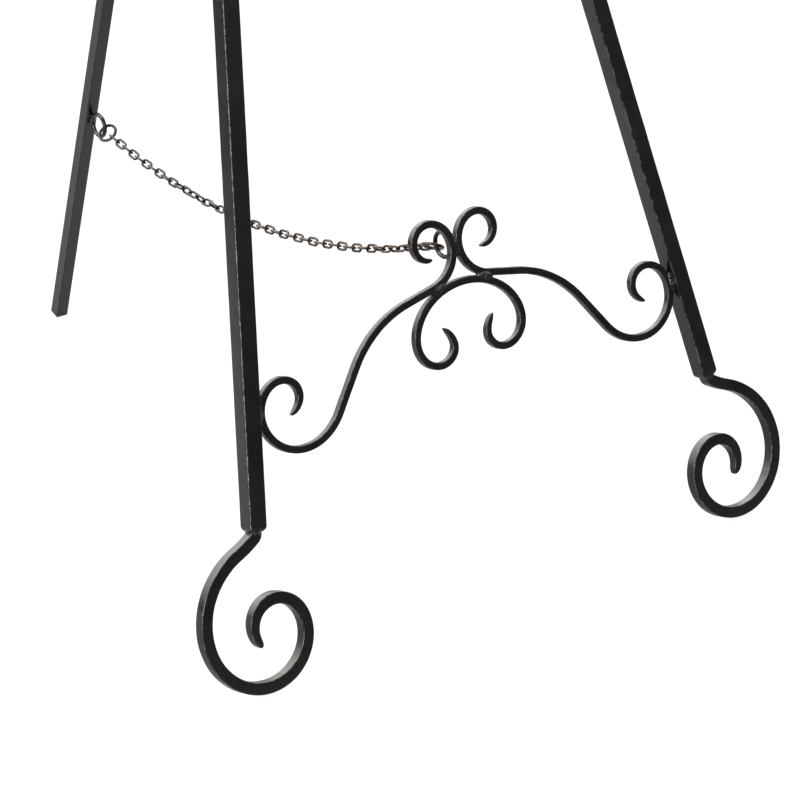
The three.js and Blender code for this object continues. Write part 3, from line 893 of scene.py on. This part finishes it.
# ---- chain ----
LINK_WIRE = 1.9 * MM
DRAWN_WIRE = 2.3 * MM  # links press into one another a little where they have worn
LINK_WIDTH = 8.0 * MM
LINK_PITCH = 11.3 * MM
LINK_END_STEPS = 8
LINK_SIDE_STEPS = (0.3, 0.5, 0.7)  # shares of a link's straight side
LINK_SEAM = LINK_END_STEPS + 2  # the place in the middle of the first side
RUNS = 10
OPEN_PIVOT = 6  # the run whose far end no joint marks
# How the chain lies twisted about its own length: link number, counted from the front, and degrees.
TWIST = ((0, 28), (5, 40), (8, 72), (22, 68), (29, 125), (37, 50), (44, 46))


def run_ends():
    """Places where the runs of the chain meet, from the front ring to the rear ring."""
    front = [PIN[f"chain_{i}_bend"] for i in range(1, OPEN_PIVOT + 1)]
    rear = [PIN[f"chain_{i}_bend"] for i in range(OPEN_PIVOT + 1, RUNS + 1)]
    points, _ = cad_surface(f"chain_run_{OPEN_PIVOT}")
    ahead = unit(points.mean(axis=0) - front[-1])
    reach = ((points - front[-1]) @ ahead).max() - LINK_WIRE / 2
    return front + [front[-1] + reach * ahead] + rear


def link_rings(near, ahead, side, reach):
    """One oval link from the wire centre of its near end, in the plane of ahead and side."""
    bend_radius = (LINK_WIDTH - LINK_WIRE) / 2
    straight = reach - 2 * bend_radius
    places = []
    for end, sign in ((reach - bend_radius, 1), (bend_radius, -1)):
        for step in range(LINK_END_STEPS + 1):
            angle = math.pi * (step / LINK_END_STEPS - sign / 2)
            outward = math.cos(angle) * ahead + math.sin(angle) * side
            places.append((near + end * ahead + bend_radius * outward, outward))
        for share in LINK_SIDE_STEPS:
            along = end - sign * share * straight
            places.append((near + along * ahead + sign * bend_radius * side, sign * side))
    return wire_loop(places, DRAWN_WIRE / 2, LINK_SEAM)


def run_links(start, ahead, near, pitch, numbers):
    """The links of one straight run, each rolled a quarter turn against its neighbours."""
    upward = np.cross(ACROSS, ahead)
    skins = []
    for i, number in enumerate(numbers):
        quarter = 90 if number % 2 == 0 else 0
        roll = math.radians(np.interp(number, *zip(*TWIST)) + quarter)
        side = math.cos(roll) * ACROSS + math.sin(roll) * upward
        begin = start + (near + i * pitch) * ahead
        skins.append(skin(link_rings(begin, ahead, side, pitch + LINK_WIRE), closed=True))
    return skins


def chain():
    """Interlocked links in runs; an even link hooks over its neighbour where a run begins or ends."""
    _, _, ring_wire = RINGS["front_joining_ring"]
    over_link, over_ring = LINK_WIRE, LINK_WIRE / 2 + ring_wire
    number = 0
    for run, (start, end) in enumerate(itertools.pairwise(run_ends())):
        length = np.linalg.norm(end - start)
        links = round(length / LINK_PITCH)
        numbers = range(number, number + links)
        near, far = 0.0, length
        if numbers[0] % 2 == 0:
            near -= over_ring if run == 0 else over_link
        if numbers[-1] % 2 == 0:
            far += over_ring if run == RUNS - 1 else over_link
        pitch = (far - near - LINK_WIRE) / links
        skins = run_links(start, unit(end - start), near, pitch, numbers)
        piece(f"chain_run_{run + 1}_links", f"chain_run_{run + 1}", *skins)
        number += links


chain()


# ---- welds ----
WELD_STEPS = 28
WELD_BLUNTNESS = 0.75  # below 1, a lump keeps more of its girth toward its ends
LUMP_SIZE = 3.2 * MM
LUMP_HEIGHT = 0.13  # as a share of the girth
RIPPLE_PITCH = 1.7 * MM
RIPPLE_HEIGHT = 0.035
# Half-sizes of the lumps: along, across and out.
TWIN_WELD = (9.5 * MM, 4.2 * MM, 4.0 * MM)
CENTER_WELD = (8.5 * MM, 4.3 * MM, 4.1 * MM)
TOP_WELD = (9.0 * MM, 3.4 * MM, 4.4 * MM)
LEG_WELD = (9.0 * MM, 4.3 * MM, 4.6 * MM)
END_WELD = (6.2 * MM, 7.3 * MM, 7.1 * MM)
RING_WELD = (5.5 * MM, 2.7 * MM, 2.6 * MM)
EAR_WELD = (7.0 * MM, 1.6 * MM, 1.6 * MM)
HINGE_BAR_WELD = (6.0 * MM, 2.0 * MM, 1.6 * MM)
ARM_WELD = (4.8 * MM, 4.7 * MM, 1.3 * MM)
# Where the middles of the lumps lie.
CENTER_PROUD = 0.5 * MM  # toward the front from where the bars touch
LEG_PROUD = 1.5 * MM
END_SPAN = 9 * MM  # stretch of a scroll that gives the direction of its end
END_SHARE = 0.2  # share of that stretch between the scroll's start and the lump
RING_PROUD = 1 * MM  # beyond the middle of the ring's wire
HINGE_BAR_DEPTH = 1 * MM  # inside the end of the hinge bar
HINGE_BAR_FACE = 6 * MM  # in front of the hinge bar's middle, or behind it


def weld(name, node_name, centre, along, across, size):
    """Lump of weld metal under the coat: three half-sizes, rippled along its length."""
    along = unit(along)
    across = unit(across_to(across, along))
    out = np.cross(along, across)
    rings = []
    for i in range(1, WELD_STEPS):
        angle = math.pi * i / WELD_STEPS
        place = -size[0] * math.cos(angle)
        girth = math.sin(angle) ** WELD_BLUNTNESS
        ring = []
        for j in range(WELD_STEPS):
            around = 2 * math.pi * j / WELD_STEPS
            spoke = size[1] * math.cos(around) * across + size[2] * math.sin(around) * out
            lumps = LUMP_HEIGHT * noise.noise(Vector((centre + place * along + spoke) / LUMP_SIZE))
            ripple = RIPPLE_HEIGHT * math.cos(2 * math.pi * place / RIPPLE_PITCH)
            ring.append(centre + place * along + girth * (1 + lumps + ripple) * spoke)
        rings.append(ring)
    piece(name, node_name, skin(rings), stands_for_node=False)


def touching(first, second):
    """Where two bars touch: the place, the first bar's direction there, and the way to the second bar."""
    one, two = first.values[:, :3], second.values[:, :3]
    gaps = np.linalg.norm(one[:, None] - two[None], axis=2)
    i, j = np.unravel_index(gaps.argmin(), gaps.shape)
    half_one, half_two = (np.linalg.norm(p.values[k, 3:6]) for p, k in ((first, i), (second, j)))
    place = one[i] + (two[j] - one[i]) * half_one / (half_one + half_two)
    i = min(max(i, 1), len(one) - 2)
    return place, one[i + 1] - one[i - 1], two[j] - one[i]


def bar_weld(first, second, size, proud=0.0):
    """Lump where two bars touch, set toward the front by a distance."""
    place, along, across = touching(PATHS[first], PATHS[second])
    weld(f"weld_{first}_{second}", first, place + proud * OUT, along, across, size)


def tie_welds():
    """The scrolls are welded to one another and to the legs."""
    bar_weld("side_scroll_left", "side_scroll_right", TWIN_WELD)
    bar_weld("top_scroll_left", "top_scroll_right", TOP_WELD)
    for side in SIDES:
        bar_weld(f"side_scroll_{side}", "center_scroll", CENTER_WELD, CENTER_PROUD)
        bar_weld(f"side_scroll_{side}", f"front_leg_{side}", LEG_WELD, LEG_PROUD)


def end_welds():
    """Foot and top scrolls are welded into the ends of the legs."""
    for side, scroll in itertools.product(SIDES, ("foot_scroll", "top_scroll")):
        name = f"{scroll}_{side}"
        start = PATHS[name].values[0, :3]
        toward = PATHS[name].at(END_SPAN)[0] - start
        weld(f"weld_{name}", name, start + END_SHARE * toward, toward, OUT, END_WELD)


def ring_welds():
    """Each eye ring is held by a weld where it meets the bar in front of or behind it."""
    for name, toward, along in (("front_eye_ring", OUT, UP), ("rear_eye_ring", -REAR_OUT, REAR_DOWN)):
        centre, radius, _ = RINGS[name]
        place = centre + (radius + RING_PROUD) * toward
        weld(f"weld_{name}", name, place, along, ACROSS, RING_WELD)


def ear_weld(side, outer):
    """Bead along the outer side of an ear's root."""
    name = f"hinge_ear_{side}"
    _, root, _ = extent(name, PIN["rear_leg_fold"], OUT)
    foot = PIN["rear_leg_fold"] + root * OUT
    weld(f"weld_{name}", name, foot + outer * ACROSS, UP, OUT, EAR_WELD)


def hinge_bar_welds(side, end):
    """Beads in front of and behind the end of the hinge bar."""
    middle = np.mean(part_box("hinge_bar"), axis=0)
    middle[0] = end - math.copysign(HINGE_BAR_DEPTH, end)
    for face, way in (("front", OUT), ("rear", -OUT)):
        place = middle + HINGE_BAR_FACE * way
        weld(f"weld_hinge_bar_{side}_{face}", "hinge_bar", place, UP, ACROSS, HINGE_BAR_WELD)


def hinge_welds():
    """The ears are welded to the hinge bar, and the bar to the legs."""
    for number, side in enumerate(SIDES):
        ear_weld(side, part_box(f"hinge_ear_{side}")[number][0])
        hinge_bar_welds(side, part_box("hinge_bar")[number][0])


def arm_welds():
    """Each picture arm is welded to its sleeve."""
    for side in SIDES:
        name = f"picture_arm_{side}"
        ends = PATHS[name].values[[0, -1], :3]
        root = ends[ends[:, 1].argmax()]
        weld(f"weld_{name}", name, root, UP, ACROSS, ARM_WELD)


tie_welds()
end_welds()
ring_welds()
hinge_welds()
arm_welds()


# ---- floor, light and camera ----
WHITE = (1.0, 1.0, 1.0, 1.0)
WARM_WHITE = (1.0, 0.98, 0.94, 1.0)
FLOOR_REACH = 12.0
FLOOR_COLOUR = (0.08, 0.08, 0.08, 1.0)
FLOOR_ROUGHNESS = 0.9
FLOOR_SEEN = 0.94  # how bright the floor looks to the camera
# The floor lights the easel most from a pool, and less around it.
POOL_CENTRE = (-0.1, 0.65, 0.0)
POOL_SPAN = (0.6, 1.25)  # metres from the pool's centre
POOL_GLOW = (0.64, 0.12)
# The studio gets brighter from front to back, and from the level up.
FRONT_TO_BACK = (-0.35, 0.3)
FRONT_TO_BACK_GLOW = (0.1, 0.75)
LEVEL_TO_HIGH = (0.0, 0.35)
LEVEL_TO_HIGH_GAIN = (1.0, 5.5)
LENS = 149.9
CAMERA_PLACE = (-1.5707, -2.2911, 1.3900)
CAMERA_TILT = math.radians(64.17)
CAMERA_TURN = math.radians(-36.97)


def floor_material():
    """Even white to the camera, and a pool of light to everything else."""
    material = bpy.data.materials.new("pale floor")
    material.use_nodes = True
    tree = material.node_tree
    place = node(tree, "NewGeometry").outputs["Position"]
    distance = node(tree, "VectorMath", {"operation": "DISTANCE"}, _0=place, _1=POOL_CENTRE)
    pool = spread(tree, distance.outputs["Value"], POOL_SPAN, POOL_GLOW)
    seen = node(tree, "LightPath").outputs["Is Camera Ray"]
    glow = node(tree, "Mix", {"data_type": "FLOAT"}, _0=seen, _2=pool, _3=FLOOR_SEEN).outputs[0]
    shader = tree.nodes["Principled BSDF"]
    tree.links.new(glow, shader.inputs["Emission Strength"])
    shader.inputs["Emission Color"].default_value = WHITE
    shader.inputs["Base Color"].default_value = FLOOR_COLOUR
    shader.inputs["Roughness"].default_value = FLOOR_ROUGHNESS
    shader.inputs["Specular IOR Level"].default_value = 0.0
    return material


def floor():
    """Pale table that runs past the picture on every side and lights the easel a little from below."""
    corners = [(x * FLOOR_REACH, y * FLOOR_REACH, 0) for x, y in ((-1, -1), (1, -1), (1, 1), (-1, 1))]
    mesh = bpy.data.meshes.new("floor")
    mesh.from_pydata(corners, [], [(0, 1, 2, 3)])
    mesh.materials.append(floor_material())
    obj = bpy.data.objects.new("floor", mesh)
    bpy.context.scene.collection.objects.link(obj)


def studio():
    """Soft white studio: bright behind and above the easel, dark behind the camera."""
    world = bpy.data.worlds.new("studio")
    bpy.context.scene.world = world
    world.use_nodes = True
    tree = world.node_tree
    tree.nodes.clear()
    direction = node(tree, "TexCoord").outputs["Generated"]
    parts = node(tree, "SeparateXYZ", None, Vector=direction)
    behind = spread(tree, parts.outputs["Y"], FRONT_TO_BACK, FRONT_TO_BACK_GLOW)
    overhead = spread(tree, parts.outputs["Z"], LEVEL_TO_HIGH, LEVEL_TO_HIGH_GAIN)
    seen = node(tree, "LightPath").outputs["Is Camera Ray"]
    glow = times(tree, behind, overhead)
    strength = node(tree, "Mix", {"data_type": "FLOAT"}, _0=seen, _2=glow, _3=1.0).outputs[0]
    tint = blended(tree, seen, WARM_WHITE, WHITE)
    background = node(tree, "Background", None, Color=tint, Strength=strength)
    output = node(tree, "OutputWorld")
    tree.links.new(background.outputs[0], output.inputs[0])


def soft_light(name, place, target, size, power):
    """Rectangular lamp that faces a target."""
    data = bpy.data.lights.new(name, "AREA")
    data.shape = "RECTANGLE"
    data.size, data.size_y = size
    data.energy = power
    obj = bpy.data.objects.new(name, data)
    obj.location = place
    obj.rotation_euler = (Vector(target) - Vector(place)).to_track_quat("-Z", "Y").to_euler()
    bpy.context.scene.collection.objects.link(obj)


def camera():
    """Looks down on the feet from the front left, through a long lens."""
    data = bpy.data.cameras.new("camera")
    data.lens = LENS
    obj = bpy.data.objects.new("camera", data)
    obj.location = CAMERA_PLACE
    obj.rotation_euler = (CAMERA_TILT, 0.0, CAMERA_TURN)
    bpy.context.scene.collection.objects.link(obj)
    bpy.context.scene.camera = obj


floor()
studio()
soft_light("key", place=(-1.6, 0.8, 2.6), target=(0.0, 0.0, 0.5), size=(1.6, 1.6), power=45.0)
soft_light("edge strip", place=(-2.5, -1.55, 0.9), target=(0.0, -0.2, 0.35), size=(0.25, 1.6), power=50.0)
camera()
bpy.context.scene.view_settings.view_transform = "Standard"
